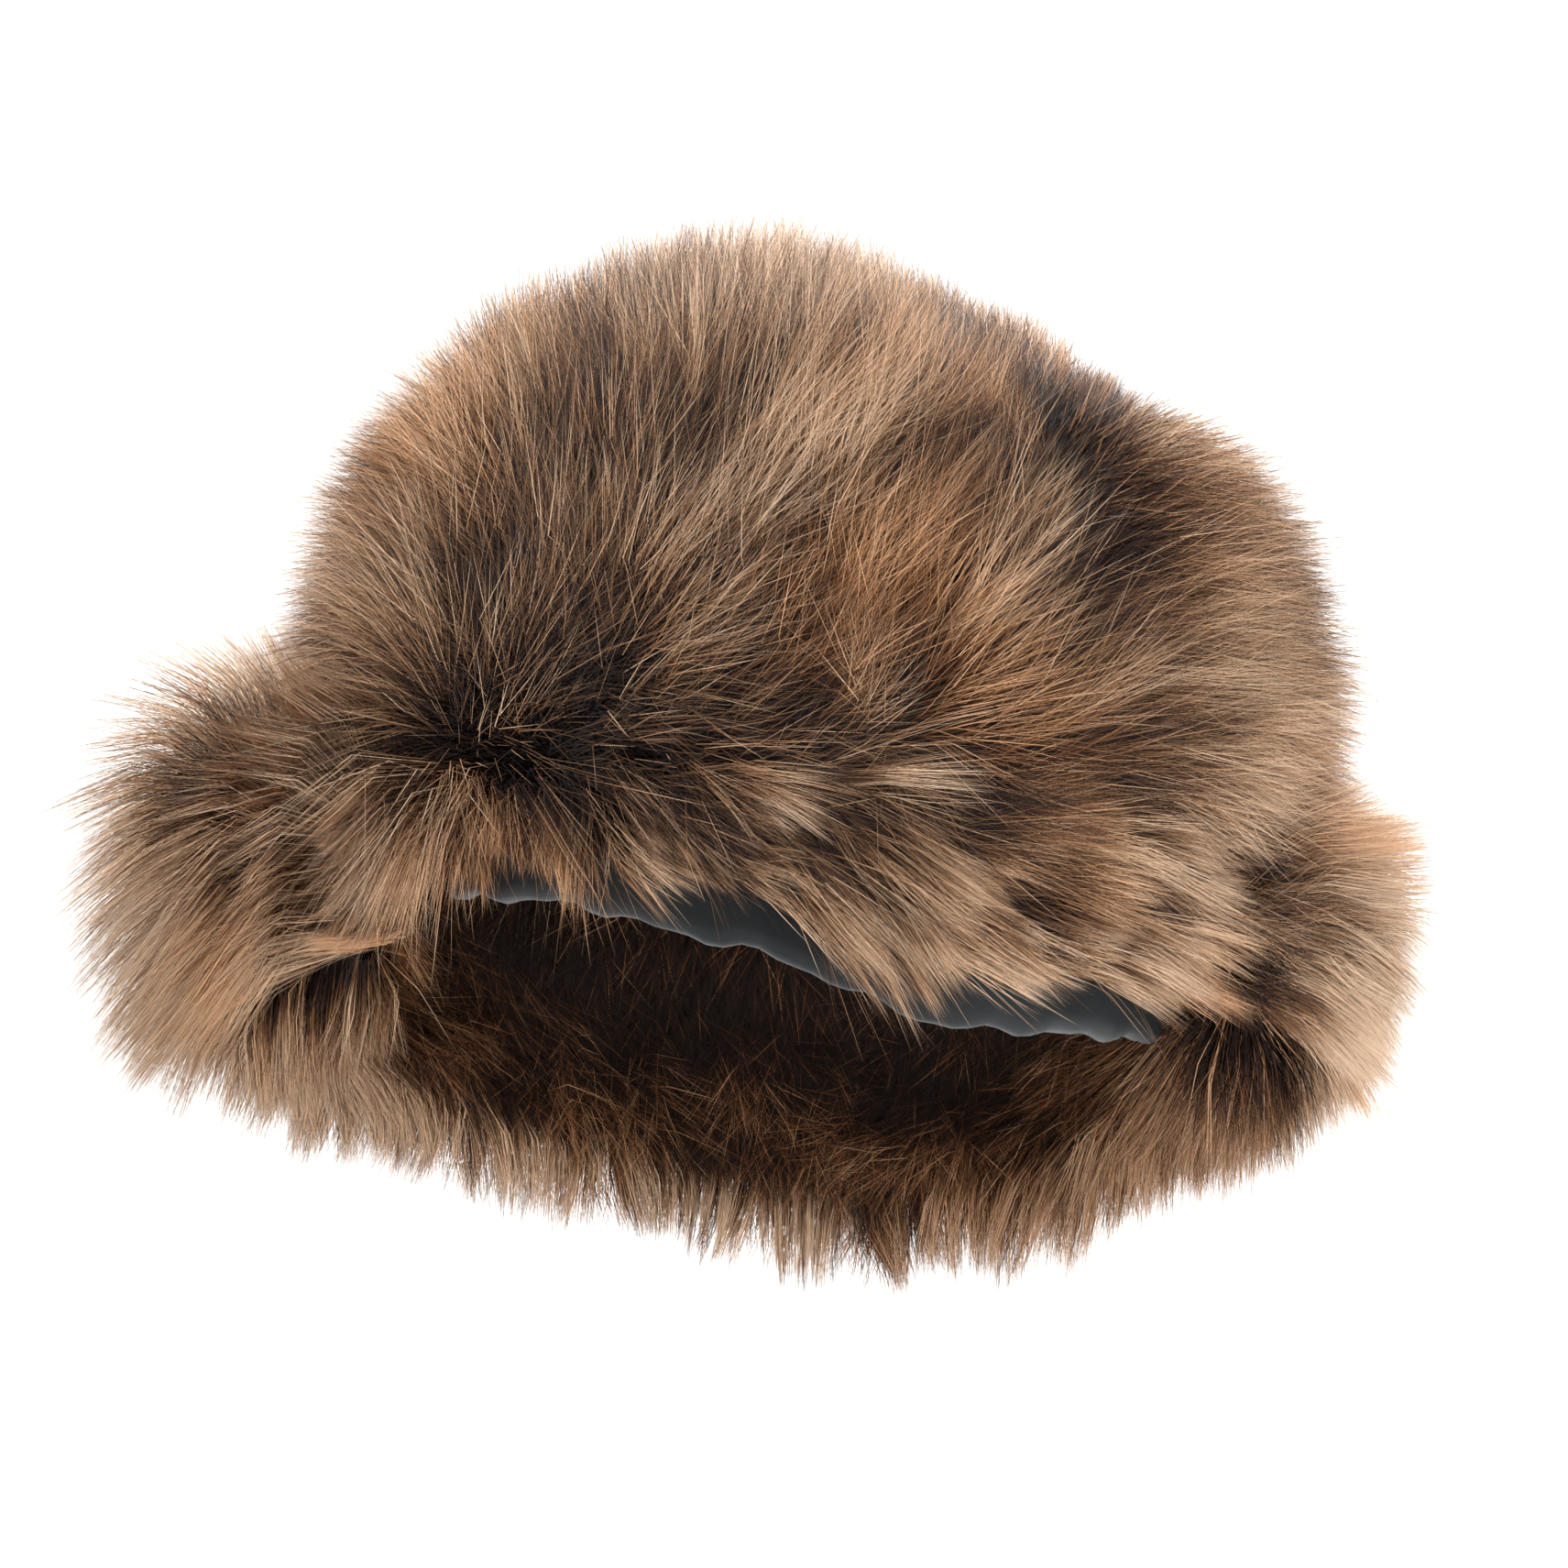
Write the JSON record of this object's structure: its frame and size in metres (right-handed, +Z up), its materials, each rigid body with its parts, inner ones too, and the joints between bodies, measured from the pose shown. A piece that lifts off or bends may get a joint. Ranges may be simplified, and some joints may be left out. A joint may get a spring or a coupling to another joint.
{
  "type": "ushanka",
  "caption": "Long-pile fur ushanka with its ear and neck flaps let down, a brow band, a round crown and a satin lining with a rolled hem.",
  "frame": {"origin": "where the head sits: the middle of the head opening, in the plane of the crown's lower seam", "axes": "+Z up through the crown, -Y out of the brow, +X to the wearer's left"},
  "size_m": [0.3032, 0.2987, 0.2367],
  "materials": {
    "fur": "long soft pile, dark grey-brown at the root and tan at the tip",
    "hide": "dark brown suede, matt",
    "satin": "black satin with a soft sheen"
  },
  "bodies": {
    "root": {"crown_centre": "fur", "crown_side_left": "fur", "crown_side_right": "fur", "brow_band": "fur", "ear_flap_left": "hide", "ear_flap_left_fur": "fur", "ear_flap_left_inner_fur": "fur", "ear_flap_right": "hide", "ear_flap_right_fur": "fur", "ear_flap_right_inner_fur": "fur", "lining": "satin"}
  },
  "joints": []
}
